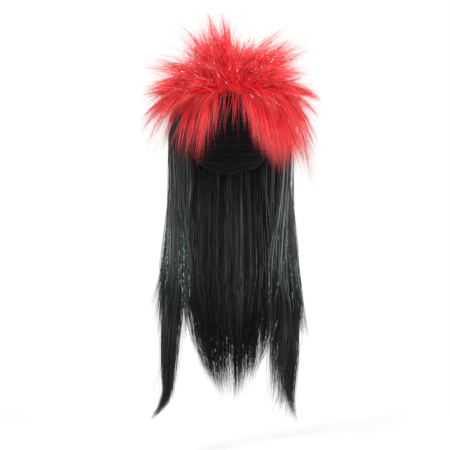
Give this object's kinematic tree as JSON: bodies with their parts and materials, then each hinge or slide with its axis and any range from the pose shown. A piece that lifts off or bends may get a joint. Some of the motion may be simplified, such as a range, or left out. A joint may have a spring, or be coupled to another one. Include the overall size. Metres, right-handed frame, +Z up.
{
  "type": "long straight wig",
  "caption": "Costume wig with a spiky red crown and fringe over long, straight black side and back hair, sewn to an open stretch cap that fits over a head.",
  "frame": {"origin": "crown point on the inside of the cap, where the wearer's head touches it", "axes": "+Z up, -Y the way the wearer faces, +X the image's right, which is the wearer's left"},
  "size_m": [0.285, 0.2296, 0.6798],
  "materials": {
    "cap_net": "black stretch net with sewn rows",
    "edge_tape": "black woven elastic tape",
    "red_hair": "fluffy bright red synthetic hair with silver tinsel",
    "black_hair": "straight black synthetic hair with a soft sheen and teal tinsel"
  },
  "bodies": {
    "root": {"wig_cap": "cap_net", "edge_band": "edge_tape", "red_crown": "red_hair", "red_fringe": "red_hair", "black_left_long": "black_hair", "black_right_long": "black_hair", "black_back_long": "black_hair", "black_left_layer": "black_hair", "black_right_layer": "black_hair", "black_back_layer": "black_hair"}
  },
  "joints": []
}
